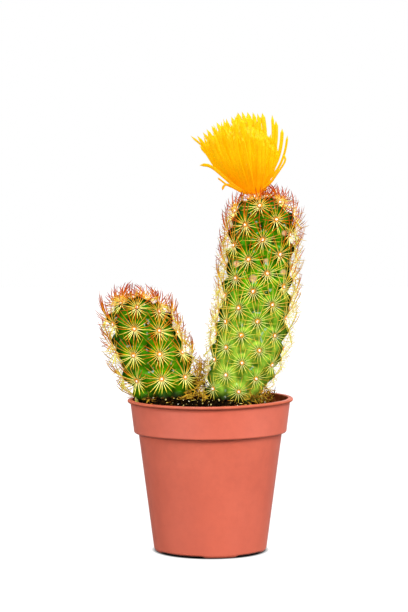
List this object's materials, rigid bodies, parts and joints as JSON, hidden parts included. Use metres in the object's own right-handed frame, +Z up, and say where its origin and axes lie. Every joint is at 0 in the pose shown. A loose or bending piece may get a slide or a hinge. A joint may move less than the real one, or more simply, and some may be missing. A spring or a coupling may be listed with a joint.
{
  "type": "potted lady finger cactus",
  "caption": "Finger cactus with spiny tubercled stems, a taller one topped by a brush-like bloom and a shorter one leaning over the rim, in a small banded nursery pot.",
  "frame": {"origin": "centre of the pot's underside, on the surface it stands on", "axes": "+Z up along the pot's axis, -Y towards the front of the plant, +X to the right seen from the front"},
  "size_m": [0.0713, 0.055, 0.1461],
  "materials": {
    "pot": "terracotta-coloured moulded plastic, satin",
    "soil": "dark peat with pale grains",
    "stem": "green waxy skin with pale yellow to red spines",
    "bloom": "dry papery yellow petals, orange at their base"
  },
  "bodies": {
    "root": {"pot": "pot", "soil": "soil", "stem_tall": "stem", "stem_short": "stem", "bloom": "bloom"}
  },
  "joints": []
}
